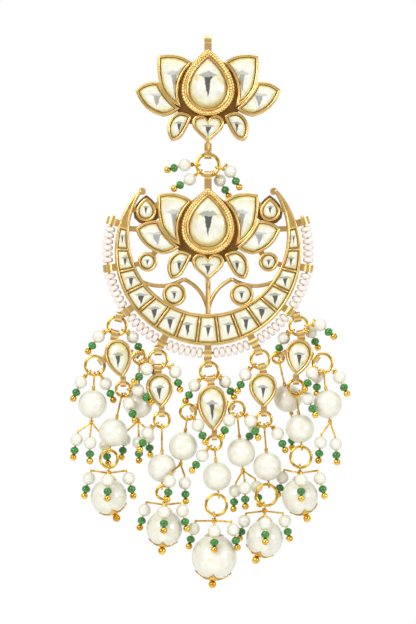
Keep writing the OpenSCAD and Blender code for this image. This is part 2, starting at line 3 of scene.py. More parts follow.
import bpy
import numpy as np
from bpy.props import FloatProperty, FloatVectorProperty, IntProperty, PointerProperty
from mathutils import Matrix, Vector


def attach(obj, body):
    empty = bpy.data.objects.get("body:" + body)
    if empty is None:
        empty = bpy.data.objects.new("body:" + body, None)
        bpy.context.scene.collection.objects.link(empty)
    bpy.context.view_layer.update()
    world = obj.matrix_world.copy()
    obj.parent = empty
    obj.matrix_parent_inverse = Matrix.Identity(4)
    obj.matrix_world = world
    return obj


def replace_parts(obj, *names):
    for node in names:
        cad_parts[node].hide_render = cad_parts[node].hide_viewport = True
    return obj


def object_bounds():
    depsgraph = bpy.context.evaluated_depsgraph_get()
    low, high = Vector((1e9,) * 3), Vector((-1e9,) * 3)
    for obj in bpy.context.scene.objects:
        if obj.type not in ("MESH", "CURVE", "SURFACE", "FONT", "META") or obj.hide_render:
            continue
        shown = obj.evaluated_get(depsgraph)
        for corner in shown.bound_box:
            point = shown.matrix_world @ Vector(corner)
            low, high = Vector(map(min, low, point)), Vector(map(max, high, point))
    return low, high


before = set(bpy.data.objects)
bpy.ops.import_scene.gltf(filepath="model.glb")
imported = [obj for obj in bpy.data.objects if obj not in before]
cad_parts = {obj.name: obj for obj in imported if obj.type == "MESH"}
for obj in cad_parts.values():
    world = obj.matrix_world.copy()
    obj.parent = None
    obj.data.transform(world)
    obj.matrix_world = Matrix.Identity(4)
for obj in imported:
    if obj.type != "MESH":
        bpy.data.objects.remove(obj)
CAD_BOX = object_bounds()

bl_info = {
    "name": "Chandbali Earring Looks",
    "version": (1, 0, 0),
    "blender": (4, 5, 0),
    "location": "View3D > Sidebar > Chandbali",
    "description": "Dresses the packed chandbali earring and sets its stage",
    "category": "Object",
}

MM = 0.001
HANGING = "drop"
STUD = "stud"


# Colours and nodes

def linear(hex_colour):
    """An sRGB hex colour as linear red, green, blue and one."""
    c = np.array([int(hex_colour[i:i + 2], 16) / 255 for i in (1, 3, 5)])
    c = np.where(c <= 0.04045, c / 12.92, ((c + 0.055) / 1.055) ** 2.4)
    return (*map(float, c), 1.0)


def tint(default, name, text):
    """A colour property that starts at a hex colour."""
    return FloatVectorProperty(name=name, description=text, subtype="COLOR", size=4, min=0, max=1,
                               default=linear(default))


def add(tree, kind, links=None, inputs=None, stops=(), **settings):
    """One node: settings are its own, inputs are constants by socket, links are sources by socket, and
    stops are the (place, colour) pairs of a ramp."""
    n = tree.nodes.new(kind)
    for key, value in settings.items():
        setattr(n, key, value)
    for socket, value in (inputs or {}).items():
        n.inputs[socket].default_value = value
    for i, (place, colour) in enumerate(stops):
        stop = n.color_ramp.elements[i] if i < 2 else n.color_ramp.elements.new(place)
        stop.position, stop.color = place, colour
    for socket, source in (links or {}).items():
        tree.links.new(source, n.inputs[socket])
    return n


def new_material(name):
    """An empty material, its tree, and the Object coordinates of the piece that wears it."""
    m = bpy.data.materials.new(name)
    m.use_nodes = True
    m.node_tree.nodes.clear()
    return m, m.node_tree, add(m.node_tree, "ShaderNodeTexCoord").outputs["Object"]


def close(tree, shader):
    """The shader goes to the material's output."""
    add(tree, "ShaderNodeOutputMaterial", {"Surface": shader.outputs[0]})


# Materials

def satin_gold(gold):
    """Antique gold plate over cast brass, brushed satin: pale warm rims, painted brown shade in the seats."""
    m, t, at = new_material("satin antique gold plate")
    depth = add(t, "ShaderNodeSeparateXYZ", {"Vector": at})
    # rims stand 2.4 mm in front of the back, and painted shade darkens the seats of the stones, at 0.8 mm,
    # where the rims shade them;
    # the back itself keeps the rim colour, with no painted shade
    deep = add(t, "ShaderNodeMapRange", {"Value": depth.outputs["Y"]},
               {"From Min": -2.2 * MM, "From Max": 0.0})
    body = add(t, "ShaderNodeValToRGB", {"Fac": deep.outputs[0]},
               stops=[(0, gold.rim), (0.85, gold.rim), (0.6, gold.painted_recess_shade)])
    # rubbed patches about 2 mm wide
    patch = add(t, "ShaderNodeTexNoise", {"Vector": at}, {"Scale": 480.0, "Detail": 5.0})
    rubbed = add(t, "ShaderNodeValToRGB", {"Fac": patch.outputs["Fac"]},
                 stops=[(0.34, linear("#D9BE8C")), (0.6, (1, 1, 1, 1))])
    colour = add(t, "ShaderNodeMix", {6: body.outputs[0], 7: rubbed.outputs[0]}, {0: 0.55},
                 data_type="RGBA", blend_type="MULTIPLY")
    shine = add(t, "ShaderNodeMapRange", {"Value": patch.outputs["Fac"]}, {"To Min": 0.42, "To Max": 0.22})
    # brush grain of 0.3 mm, coarser than real so that it shows
    grain = add(t, "ShaderNodeTexNoise", {"Vector": at}, {"Scale": 3200.0, "Detail": 3.0})
    bump = add(t, "ShaderNodeBump", {"Height": grain.outputs["Fac"]}, {"Strength": 0.3, "Distance": 0.00006})
    close(t, add(t, "ShaderNodeBsdfPrincipled",
                 {"Base Color": colour.outputs[2], "Roughness": shine.outputs[0], "Normal": bump.outputs[0]},
                 {"Metallic": 1.0}))
    return m


def bright_gold(gold):
    """Polished gold-plated brass wire: yellow and mirror bright, with slight thin spots in the plate."""
    m, t, at = new_material("polished gold plated wire")
    thin = add(t, "ShaderNodeTexNoise", {"Vector": at}, {"Scale": 700.0, "Detail": 2.0})
    colour = add(t, "ShaderNodeValToRGB", {"Fac": thin.outputs["Fac"]},
                 stops=[(0.35, gold.wire_shade), (0.58, gold.wire)])
    shine = add(t, "ShaderNodeMapRange", {"Value": thin.outputs["Fac"]}, {"To Min": 0.3, "To Max": 0.14})
    close(t, add(t, "ShaderNodeBsdfPrincipled",
                 {"Base Color": colour.outputs[0], "Roughness": shine.outputs[0]}, {"Metallic": 1.0}))
    return m


def foiled_glass(stone):
    """Cut glass over silver foil: white heart, pale yellow rim, and a painted grey T of shade, standing for
    the dark reflection where the foil's fold turns the light away. The map called cut runs from -1 to 1
    across and up each stone, and the map called rim holds the share of the way from a stone's middle to its
    edge, then how strong its painted T is."""
    m, t, at = new_material("foil backed cut glass")
    across, edge = (add(t, "ShaderNodeUVMap", uv_map=name) for name in ("cut", "rim"))
    # the edge of the painted T is ragged by a few hundredths of the stone
    rough = add(t, "ShaderNodeTexNoise", {"Vector": at}, {"Scale": 900.0, "Detail": 3.0})
    wave = add(t, "ShaderNodeVectorMath", {0: rough.outputs["Color"]}, {1: (0.5, 0.5, 0.5)},
               operation="SUBTRACT")
    small = add(t, "ShaderNodeVectorMath", {0: wave.outputs[0]}, {"Scale": 0.22}, operation="SCALE")
    place = add(t, "ShaderNodeVectorMath", {0: across.outputs[0], 1: small.outputs[0]}, operation="ADD")
    xy = add(t, "ShaderNodeSeparateXYZ", {"Vector": place.outputs[0]})
    wide = add(t, "ShaderNodeMath", {0: xy.outputs["X"]}, operation="ABSOLUTE")
    # the stem of the painted grey T of shade: up to height 0.22, 0.23 to each side at height 0.15, closing to
    # nothing at -0.65
    room = add(t, "ShaderNodeMapRange", {"Value": xy.outputs["Y"]},
               {"From Min": -0.65, "From Max": 0.15, "To Min": 0.0, "To Max": 0.23})
    inside = add(t, "ShaderNodeMath", {0: room.outputs[0], 1: wide.outputs[0]}, operation="SUBTRACT")
    below = add(t, "ShaderNodeMath", {1: xy.outputs["Y"]}, {0: 0.22}, operation="SUBTRACT")
    stem = add(t, "ShaderNodeMath", {0: inside.outputs[0], 1: below.outputs[0]}, operation="MINIMUM")
    stem_shade = add(t, "ShaderNodeMapRange", {"Value": stem.outputs[0]},
                    {"From Min": -0.01, "From Max": 0.04})
    # the bar of the painted T: a paler band of painted shade from 0.09 to 0.43 up in the middle, closing to
    # nothing at 0.62 on each side
    lift = add(t, "ShaderNodeMath", {0: xy.outputs["Y"]}, {1: 0.26}, operation="SUBTRACT")
    off = add(t, "ShaderNodeMath", {0: lift.outputs[0]}, operation="ABSOLUTE")
    thick = add(t, "ShaderNodeMapRange", {"Value": wide.outputs[0]},
                {"From Min": 0.0, "From Max": 0.62, "To Min": 0.17, "To Max": 0.0})
    bar = add(t, "ShaderNodeMath", {0: thick.outputs[0], 1: off.outputs[0]}, operation="SUBTRACT")
    bar_shade = add(t, "ShaderNodeMapRange", {"Value": bar.outputs[0]},
                   {"From Min": -0.01, "From Max": 0.05, "To Min": 0.0, "To Max": 0.55})
    fold = add(t, "ShaderNodeMath", {0: stem_shade.outputs[0], 1: bar_shade.outputs[0]}, operation="MAXIMUM")
    share = add(t, "ShaderNodeSeparateXYZ", {"Vector": edge.outputs[0]})
    fold = add(t, "ShaderNodeMath", {0: fold.outputs[0], 1: share.outputs["Y"]}, operation="MULTIPLY")
    ring = add(t, "ShaderNodeValToRGB", {"Fac": share.outputs["X"]},
               stops=[(0.5, stone.heart), (0.93, stone.edge), (0.78, stone.between)])
    # pale cloudy foil, in patches of about 1.6 mm
    cloud = add(t, "ShaderNodeTexVoronoi", {"Vector": at}, {"Scale": 620.0})
    tone = add(t, "ShaderNodeValToRGB", {"Fac": cloud.outputs["Distance"]},
               stops=[(0.0, (1, 1, 1, 1)), (0.9, linear("#E3E2D6"))])
    foil = add(t, "ShaderNodeMix", {6: ring.outputs[0], 7: tone.outputs[0]}, {0: 0.8},
               data_type="RGBA", blend_type="MULTIPLY")
    # painted shade: the grey of the T, standing for the foil's dark reflection in its fold, mixed over the
    # foil
    colour = add(t, "ShaderNodeMix", {0: fold.outputs[0], 6: foil.outputs[2]}, {7: stone.painted_fold_shade},
                 data_type="RGBA")
    close(t, add(t, "ShaderNodeBsdfPrincipled", {"Base Color": colour.outputs[2]},
                 {"Roughness": 0.16, "Coat Weight": 1.0, "Coat Roughness": 0.02}))
    return m


def pearl_lustre(name, body, shade):
    """Lacquered round bead: even body, painted shade with a faint tinge where the bead is seen edge on, and a
    soft gloss.
    """
    m, t, at = new_material(name)
    facing = add(t, "ShaderNodeLayerWeight", inputs={"Blend": 0.35})
    middle = tuple((a * 2 + b) / 3 for a, b in zip(body, shade))
    # painted shade: the body darkens to the shade colour towards the edges as seen from the camera
    skin = add(t, "ShaderNodeValToRGB", {"Fac": facing.outputs["Facing"]},
               stops=[(0.05, body), (0.95, shade), (0.5, middle)])
    # the lacquer is uneven over about 1 mm
    cloud = add(t, "ShaderNodeTexNoise", {"Vector": at}, {"Scale": 900.0, "Detail": 2.0})
    even = add(t, "ShaderNodeValToRGB", {"Fac": cloud.outputs["Fac"]},
               stops=[(0.3, linear("#F5F3EC")), (0.65, (1, 1, 1, 1))])
    colour = add(t, "ShaderNodeMix", {6: skin.outputs[0], 7: even.outputs[0]}, {0: 1.0},
                 data_type="RGBA", blend_type="MULTIPLY")
    close(t, add(t, "ShaderNodeBsdfPrincipled", {"Base Color": colour.outputs[2]},
                 {"Roughness": 0.3, "Coat Weight": 1.0, "Coat Roughness": 0.05}))
    return m


def green_glass(green):
    """Pressed glass seed, fire polished: deep green, with a painted sheen that makes it lighter where the
    glass is seen edge on.
    """
    m, t, at = new_material("fire polished green glass")
    facing = add(t, "ShaderNodeLayerWeight", inputs={"Blend": 0.4})
    # painted sheen: a paler green towards the edges as seen from the camera
    pale = (*(min(1.0, c * 1.35 + 0.01) for c in green[:3]), 1.0)
    deep = (*(c * 0.45 for c in green[:3]), 1.0)
    skin = add(t, "ShaderNodeValToRGB", {"Fac": facing.outputs["Facing"]},
               stops=[(0.1, green), (0.95, pale), (0.5, green)])
    streak = add(t, "ShaderNodeTexNoise", {"Vector": at}, {"Scale": 800.0, "Detail": 1.0})
    dark = add(t, "ShaderNodeMapRange", {"Value": streak.outputs["Fac"]},
               {"From Min": 0.35, "From Max": 0.65, "To Min": 0.0, "To Max": 0.7})
    colour = add(t, "ShaderNodeMix", {0: dark.outputs[0], 6: skin.outputs[0]}, {7: deep}, data_type="RGBA")
    close(t, add(t, "ShaderNodeBsdfPrincipled", {"Base Color": colour.outputs[2]},
                 {"Roughness": 0.1, "Coat Weight": 1.0, "Coat Roughness": 0.03}))
    return m


def matt_board(colour):
    """Matt painted board."""
    m, t, at = new_material("matt painted board")
    fleck = add(t, "ShaderNodeTexNoise", {"Vector": at}, {"Scale": 300.0})
    bump = add(t, "ShaderNodeBump", {"Height": fleck.outputs["Fac"]}, {"Strength": 0.02})
    close(t, add(t, "ShaderNodeBsdfPrincipled", {"Normal": bump.outputs[0]},
                 {"Base Color": colour, "Roughness": 0.8}))
    return m


# Shapes

def unit(v):
    """Vectors at length one."""
    v = np.asarray(v, float)
    return v / np.linalg.norm(v, axis=-1, keepdims=True)


def around(n):
    """n even steps round a circle, in radians."""
    return np.arange(n) * 2 * np.pi / n


def skinned(rings, ends=None):
    """A closed skin over rows of rings. The last row joins the first, or, where two end points are given,
    a fan of triangles runs to each."""
    rows, n, _ = rings.shape
    i, j = np.meshgrid(np.arange(rows if ends is None else rows - 1), np.arange(n), indexing="ij")
    i2, k = (i + 1) % rows, (j + 1) % n
    quads = np.stack([i * n + j, i * n + k, i2 * n + k, i2 * n + j], -1).reshape(-1, 4)
    verts = rings.reshape(-1, 3)
    if ends is None:
        return verts, quads, np.zeros((0, 3), int)
    j, last, pole = np.arange(n), (rows - 1) * n, rows * n
    k = (j + 1) % n
    caps = np.concatenate([np.stack([k, j, np.full(n, pole)], -1),
                           np.stack([last + j, last + k, np.full(n, pole + 1)], -1)])
    return np.concatenate([verts, ends]), quads, caps


def turned(profile, n):
    """A solid of revolution: the profile's (radius, height) points carried round z in n steps. The first
    and last points lie on the axis and become the poles."""
    a = around(n)
    r, h = np.asarray(profile, float)[1:-1].T[:, :, None]
    rings = np.stack(np.broadcast_arrays(r * np.cos(a), r * np.sin(a), h), -1)
    return skinned(rings, [[0, 0, profile[0][1]], [0, 0, profile[-1][1]]])


def round_profile(r, h, steps):
    """Half an ellipse from the lower pole to the upper, r across and h high."""
    a = np.linspace(-np.pi / 2, np.pi / 2, steps)
    p = np.stack([r * np.cos(a), h * np.sin(a)], -1)
    p[[0, -1], 0] = 0
    return p


def copies(shape, places, ways, sizes=None):
    """The shape once for each place, its z turned to each way and its size multiplied."""
    verts, quads, caps = shape
    places, ways = np.asarray(places, float), unit(ways)
    sizes = np.ones(len(places)) if sizes is None else np.asarray(sizes, float)
    aside = np.where(np.abs(ways[:, 1:2]) < 0.9, [[0.0, 1.0, 0.0]], [[1.0, 0.0, 0.0]])
    x = unit(np.cross(aside, ways))
    y = np.cross(ways, x)
    turn = np.stack([x, y, ways], 1)
    v = np.einsum("nk,mkc->mnc", verts, turn) * sizes[:, None, None] + places[:, None]
    step = (np.arange(len(places)) * len(verts))[:, None, None]
    return v.reshape(-1, 3), (quads[None] + step).reshape(-1, 4), (caps[None] + step).reshape(-1, 3)


def merged(shapes):
    """Many shapes as one."""
    verts, quads, tris, n = [], [], [], 0
    for v, q, t in shapes:
        verts.append(v)
        quads.append(q + n)
        tris.append(t + n)
        n += len(v)
    return np.concatenate(verts), np.concatenate(quads), np.concatenate(tris)


def resampled(line, n, closed=True):
    """A polyline as n points at even steps along it."""
    line = np.asarray(line, float)
    line = np.concatenate([line, line[:1]]) if closed else line
    run = np.concatenate([[0], np.cumsum(np.linalg.norm(np.diff(line, axis=0), axis=1))])
    want = np.linspace(0, run[-1], n, endpoint=not closed)
    return np.stack([np.interp(want, run, line[:, i]) for i in range(line.shape[1])], -1)


def swept(path, wide, high, n=10, closed=True, rib=None):
    """A bar along a flat path: an ellipse of half sizes wide, in the path's plane, and high, to the
    front, carried along it. rib multiplies the ellipse at each step and place round it."""
    path = np.asarray(path, float)
    way = np.roll(path, -1, 0) - np.roll(path, 1, 0) if closed else np.gradient(path, axis=0)
    way = unit(way)
    out = np.tile([0.0, -1.0, 0.0], (len(path), 1))
    side = np.cross(way, out)
    a = around(n)
    rib = np.ones((len(path), n)) if rib is None else rib
    rings = (path[:, None] + high * (rib * np.cos(a))[:, :, None] * out[:, None]
             + wide * (rib * np.sin(a))[:, :, None] * side[:, None])
    return skinned(rings, None if closed else path[[0, -1]])


def upright(flat, y):
    """Flat points at a depth, front negative."""
    return np.stack([flat[:, 0], np.full(len(flat), y), flat[:, 1]], -1)


def put(name, shape, material, body, smooth=True):
    """A mesh object in metres from a shape in millimetres, riding on a body."""
    verts, quads, tris = shape
    m = bpy.data.meshes.new(name)
    m.from_pydata((np.asarray(verts) * MM).tolist(), [], quads.tolist() + tris.tolist())
    m.polygons.foreach_set("use_smooth", np.full(len(m.polygons), smooth))
    m.materials.append(material)
    o = bpy.data.objects.new(name, m)
    bpy.context.scene.collection.objects.link(o)
    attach(o, body)
    return o


# The hang of the fringe, in millimetres, as the part's source has it. Flat points are (across, up).

DEPTH = 1.3                     # from the back to the plane that the rings hang in
LINK_AT, LINK_R = np.array([0, -16.2]), 2.3
MOON = np.array([0, -34.44])    # middle of the crescent's outer circle
STRING_R = 21.0                 # from there to the seed beads
LUG_R = STRING_R + 1.95         # and to the top of a pear's ring
PEAR_RING_R = 1.9
TOP_TAB = 0.95                  # from a pear setting's upper end to its ring's wire
LOW_TAB = 0.85                  # from its point to the wire below
SIDE_TAB = (0.62, 0.3)          # from its side to the wire there, out and up
MID_R, SMALL_R = 3.0, 1.35      # strand pearls and small pearls
NECK = 0.8                      # from a strand pearl to its pin's lower end
HANG = 2.55                     # from a ring's wire to the middle of a small pearl
GREEN_STEP = 2.3                # from there to the middle of its green seed
GREEN_FLAT = 0.88               # a green seed's height as a share of its width
SEED_R, THREAD_R = 1.12, 0.3    # border seeds and their thread
LEFT_STRANDS = 5                # the first strands of the table, which hang to the left
CROWN_LEAN = 15                 # outward lean of a crown's pearls, in degrees
# collars of the crescent, in degrees: the first one's middle, the step, the width, and the gaps between
COLLAR_FROM, COLLAR_STEP, COLLAR_W, GAPS = 162, 27.0, 4.2, 8
# collar angle, lean of the ring, lean of the pear, width, length
PEARS = [(216, -13, 10, 5.6, 8.2), (243, 0, 5, 5.6, 7.3), (270, 8, 4, 6.2, 9.7),
         (297, 14, 2, 5.8, 7.3), (324, 12, -6, 5.6, 7.6)]
# pear, side, lean of the ring, ring radius, pearl x, y, z
STRANDS = [(0, -1, -55, 2.0, -24.1, 1.3, -66.1), (0, 0, 0, 1.5, -19.8, 1.3, -72.0),
           (0, 1, 52, 1.2, -14.6, -1.0, -66.2), (1, 0, 0, 1.6, -9.6, 1.3, -79.4),
           (2, -1, -60, 1.6, -5.2, 1.3, -74.9), (2, 1, 60, 1.6, 6.9, 1.3, -76.2),
           (2, 0, 0, 1.5, 1.9, 1.3, -81.2), (3, 0, 0, 1.6, 12.4, 1.3, -79.1),
           (4, 0, 0, 1.6, 19.2, 1.3, -71.2), (4, 1, 55, 2.0, 25.0, 1.3, -66.1),
           (4, -1, -50, 1.1, 16.8, -2.2, -65.0)]
# pearl x, z, radius, lean, crown reach, crown height, ways of the crown's dangles
BOTTOMS = [(-20.7, -85.4, 3.8, 20, 4.15, 3.8, (-90, 0, 90)), (-9.1, -92.0, 3.8, -6, 4.15, 3.8, (-90, 0, 66)),
           (1.3, -98.0, 4.75, -4, 4.3, 5.9, (-90, 0, 66)), (11.8, -94.1, 3.9, -22, 4.25, 3.6, (-90, 0, 90)),
           (19.2, -85.4, 3.8, 18, 4.15, 3.8, (-120, 0, 90))]
# from the top of each of them to the foot of the ring above
CROWN_NECKS = (1.7, 1.7, 3.4, 2.4, 1.7)
# kind of ring (0 link, 1 pear, 2 strand), its number, place round it, forward lean, lean of the hanging end
DANGLES = [
    (0, 0, -90, 0, -75), (0, 0, -52, 0, -60), (0, 0, 39, -50, 30), (0, 0, 74, 0, 30),
    (1, 0, -60, 0, -35), (1, 0, 54, -35, 30), (1, 1, -50, 65, -45), (1, 1, 54, 0, 15),
    (1, 2, -46, -20, -30), (1, 2, 56, -35, 30), (1, 3, -44, 0, -25), (1, 4, -50, -35, -25),
    (1, 4, 64, -66, 25), (1, 4, 93, 0, 50), (2, 0, -40, 0, -25), (2, 0, 30, -20, 25),
    (2, 2, 54, -66, 40), (2, 1, 24, 50, 20), (2, 1, 88, 50, 50), (2, 3, -48, 20, -25),
    (2, 4, 38, 44, 24), (2, 5, -37, 65, -25), (2, 5, 50, 35, 25), (2, 6, -44, 35, -35),
    (2, 7, -50, -66, -24), (2, 7, 44, 0, 25), (2, 9, -50, 65, -25), (2, 9, 50, 0, 25),
    (2, 9, -20, -66, 0), (2, 8, 46, 50, 25)]
# strand, then across, down and forward of each small pearl
CLUSTERS = [(0, ((-3.1, 3.6, 0), (-0.2, 4.2, 1.2), (2.7, 5.1, -3))),
            (2, ((-2.9, 4.0, -1.4), (0.2, 4.4, 1.4), (2.1, 3.4, -0.6))),
            (4, ((-2.2, 3.2, 3.4), (0.9, 3.9, 0.4))),
            (5, ((-1.6, 4.3, -0.6), (0.4, 3.5, 1.6), (2.9, 3.6, -2.2))),
            (9, ((-2.0, 4.2, 0.4), (1.2, 4.6, -0.4))), (10, ((0.1, 3.4, 0),))]


def sin(a):
    """Sine of degrees."""
    return np.sin(np.radians(a))


def cos(a):
    """Cosine of degrees."""
    return np.cos(np.radians(a))


def down(a):
    """The flat way that leans a degrees from straight down, to the right if positive."""
    return np.array([sin(a), -cos(a)])


def leaning(a):
    """The way in the picture's plane that leans a degrees from straight down."""
    return np.array([sin(a), 0, -cos(a)])


def at3(p):
    """A flat point in the plane that rings hang in."""
    return np.array([p[0], -DEPTH, p[1]])


def spin(p, a):
    """A flat point turned a degrees."""
    return np.array([p[0] * cos(a) - p[1] * sin(a), p[0] * sin(a) + p[1] * cos(a)])


def pear_places():
    """Ring middles, pear middles and the way that each pear hangs."""
    rings = [MOON + LUG_R * np.array([cos(p[0]), sin(p[0])]) + PEAR_RING_R * down(p[1]) for p in PEARS]
    pears = [r + PEAR_RING_R * down(p[1]) + (TOP_TAB + p[4] / 2) * down(p[2]) for r, p in zip(rings, PEARS)]
    return rings, pears


def strand_places():
    """For each strand: its ring's middle, its pearl, the way of its pin, and the pin's lower end."""
    pears = pear_places()[1]
    out = []
    for i, side, lean, r, x, y, z in STRANDS:
        w, h = PEARS[i][3:5]
        lug = [0, -h / 2 - LOW_TAB] if side == 0 else [side * (w / 2 + SIDE_TAB[0]), SIDE_TAB[1]]
        ring = pears[i] + spin(lug, PEARS[i][2]) + r * down(lean)
        pearl = np.array([x, -y, z])
        eye = at3(ring + r * unit(pearl[[0, 2]] - ring))
        way = unit(pearl - eye)
        out.append((ring, pearl, way, pearl + way * (MID_R + NECK)))
    return out


def dangle_arms():
    """Each loose dangle's place on its ring's wire, and the way that its pin leaves it."""
    rings, strands = pear_places()[0], strand_places()
    hosts = ([(LINK_AT, LINK_R)], [(r, PEAR_RING_R) for r in rings],
             [(s[0], t[3]) for s, t in zip(strands, STRANDS)])
    return [(at3(hosts[kind][i][0] + hosts[kind][i][1] * down(a)),
             np.array([sin(a) * cos(f), -sin(f), -cos(a) * cos(f)])) for kind, i, a, f, _ in DANGLES]


def small_places():
    """Middle and way of every small pearl, in three groups: ring dangles, end clusters, crowns. A dangle
    hangs forward by a quarter of its pin's lean, and an end pearl splays a little with its place."""
    strands = strand_places()
    loose, ends, crowns = [], [], []
    for (eye, arm), (_, _, _, f, lean) in zip(dangle_arms(), DANGLES):
        loose.append((eye + arm * HANG, unit([sin(lean), -sin(f / 4), -cos(lean)])))
    for i, pearls in CLUSTERS:
        for x, z, y in pearls:
            ends.append((strands[i][3] + [x, -y, -z], unit([x * 0.06, -y * 0.02, -1])))
    for x, z, r, lean, reach, rise, ways in BOTTOMS:
        for a in ways:
            out = np.array([sin(a), -cos(a), 0])
            crowns.append((np.array([x, -DEPTH, z]) + out * reach + [0, 0, rise],
                           out * sin(CROWN_LEAN) - np.array([0, 0, cos(CROWN_LEAN)])))
    return loose, ends, crowns


# Outlines of the settings, as flat points

DROP_W, DROP_H = 11, 13.9
HEART_W, HEART_H, HEART_Z = 6.7, 6.1, -DROP_H / 2 - 2.8


def drop(w, h, n=120):
    """The drop: width follows sine times half sine, height cosine plus a small belly."""
    t = around(n)
    return np.stack([-w / 2 * np.sin(t) * np.abs(np.sin(t / 2)) / 0.77,
                     h / 2 * (np.cos(t) + 0.12 * np.sin(t) ** 2)], -1)


def heart(w, h, n=120):
    """The heart: width is sine cubed, height a sum of four cosines."""
    t = -around(n)
    up = 13 * np.cos(t) - 5 * np.cos(2 * t) - 2 * np.cos(3 * t) - np.cos(4 * t)
    return np.stack([w / 2 * np.sin(t) ** 3, h * (up + 2.5) / 29], -1)


def bowed(a, b, bow, t):
    """Points at the shares t of a parabola from a to b, whose middle stands off the straight line by bow."""
    d, t = np.subtract(b, a), t[:, None]
    return a + d * t + np.array([d[1], -d[0]]) / np.hypot(*d) * bow * 4 * t * (1 - t)


def petal(corners, n=12):
    """A closed outline: each side from a corner to the next bows out as a parabola by its height."""
    shares = np.array(corners)
    at = shares[:, :2] * (DROP_W, DROP_H)
    return np.concatenate([bowed(a, b, h * DROP_H, np.arange(n) / n)
                           for a, b, h in zip(at, np.roll(at, -1, 0), shares[:, 2])])


def inset(p, d):
    """An outline moved in by d, with mitred corners."""
    e, f = unit(p - np.roll(p, 1, 0)), unit(np.roll(p, -1, 0) - p)
    a, b = np.stack([-e[:, 1], e[:, 0]], -1), np.stack([-f[:, 1], f[:, 0]], -1)
    return p + d * (a + b) / (1 + (a * b).sum(1, keepdims=True))


TABLE = 0.6                     # a stone's table as a share of its girdle
PETAL_FOLD_SHADE = 0.6                # strength of the painted shade of the foil's fold in a petal, where other stones have 1
RIM_W, FRONT, ROPE_RISE = 0.5, 2.4, 0.8
# half sizes of rounded bars: in the picture's plane, then to the front
RIM, EDGE, BAR, VINE, STEM = (0.3, 0.26), (0.32, 0.28), (0.2, 0.2), (0.4, 0.36), (0.45, 0.4)
ROPE, BEAD = (0.52, 0.46), (0.25, 0.3)
VINE_RISE, STEM_RISE = 0.7, 0.8     # how far forward these lie, as shares of FRONT
ROPE_IN, BEAD_IN = 0.5, 1.2     # from the drop's outline to the middle of its rope and of its bead
# corners as shares of the drop's width and height, each with the bow of the side that follows
UPPER = petal([(0.3, 0.302, -0.108), (0.518, -0.367, 0.036), (0.891, -0.086, 0.025), (0.945, 0.396, 0.065)])
SIDE = petal([(0.936, 0.007, -0.036), (0.536, -0.388, 0.022), (0.864, -0.496, 0.079), (1.373, -0.115, 0.043)])
LEAF = petal([(0.31, -0.505, 0.007), (0.455, -0.748, 0.036), (0.7, -0.863, 0.029), (0.755, -0.619, 0.029),
              (0.555, -0.446, 0.022)])
STUD_Z, CHAND_Z = 0.89, -27.95  # middles of the two lotus drops
# the crescent: outer and inner radius, how far the inner circle is raised, the horns' reach past level in
# degrees, stones in the band, and the angle of its first bar
RIM_R, INNER_R, INNER_RISE, HORN, CELLS, BAND_FROM = 19.4, 16.5, 3.64, 43, 15, 164
# the right-hand corner seat: width, height and middle
CORNER_W, CORNER_H, CORNER_AT = 4.2, 4.9, np.array([12.9, -25.5])
# the right-hand round seats: across, up, radius
ROUNDS = ((12.6, -36.41, 2.0), (7.02, -43.2, 2.45))
# the right-hand vine's arcs: start, end, bow
VINES = (((0.2, -45.8), (5, -40), -0.9), ((5, -40), (13.6, -40.6), 1.1))
STEM_LINE = ((0, -39.6), (0, -47.8))


def crescent_inner(a):
    """How far the crescent's inner edge is from the outer circle's middle, at an angle."""
    return INNER_RISE * sin(a) + np.sqrt(INNER_R ** 2 - (INNER_RISE * cos(a)) ** 2)


def lotus_rims(z):
    """Half-round rims on the petals, leaves and heart of a lotus whose drop is z up."""
    lines = [p * [s, 1] if s > 0 else (p * [-1, 1])[::-1] for p in (UPPER, SIDE, LEAF) for s in (1, -1)]
    lines.append(heart(HEART_W, HEART_H) + [0, HEART_Z])
    return [swept(resampled(upright(inset(p, RIM_W / 2) + [0, z], -FRONT), 90), *RIM) for p in lines]


def rope(z, turns):
    """The border of a lotus drop: outside a rope, whose ellipse swells with a wave that runs round it
    as it goes along, and inside a smooth bead against the stone."""
    swell = 0.13                    # of the rope's strands, as a share of its half size
    steps, n = turns * 8, 14
    top = -FRONT - ROPE_RISE
    path = resampled(upright(inset(drop(DROP_W, DROP_H), ROPE_IN) + [0, z], top), steps)
    wave = 1 + swell * np.cos(around(steps)[:, None] * turns + 2 * around(n)[None])
    bead = resampled(upright(inset(drop(DROP_W, DROP_H), BEAD_IN) + [0, z], top), 160)
    return [swept(path, *ROPE, n, rib=wave), swept(bead, *BEAD)]


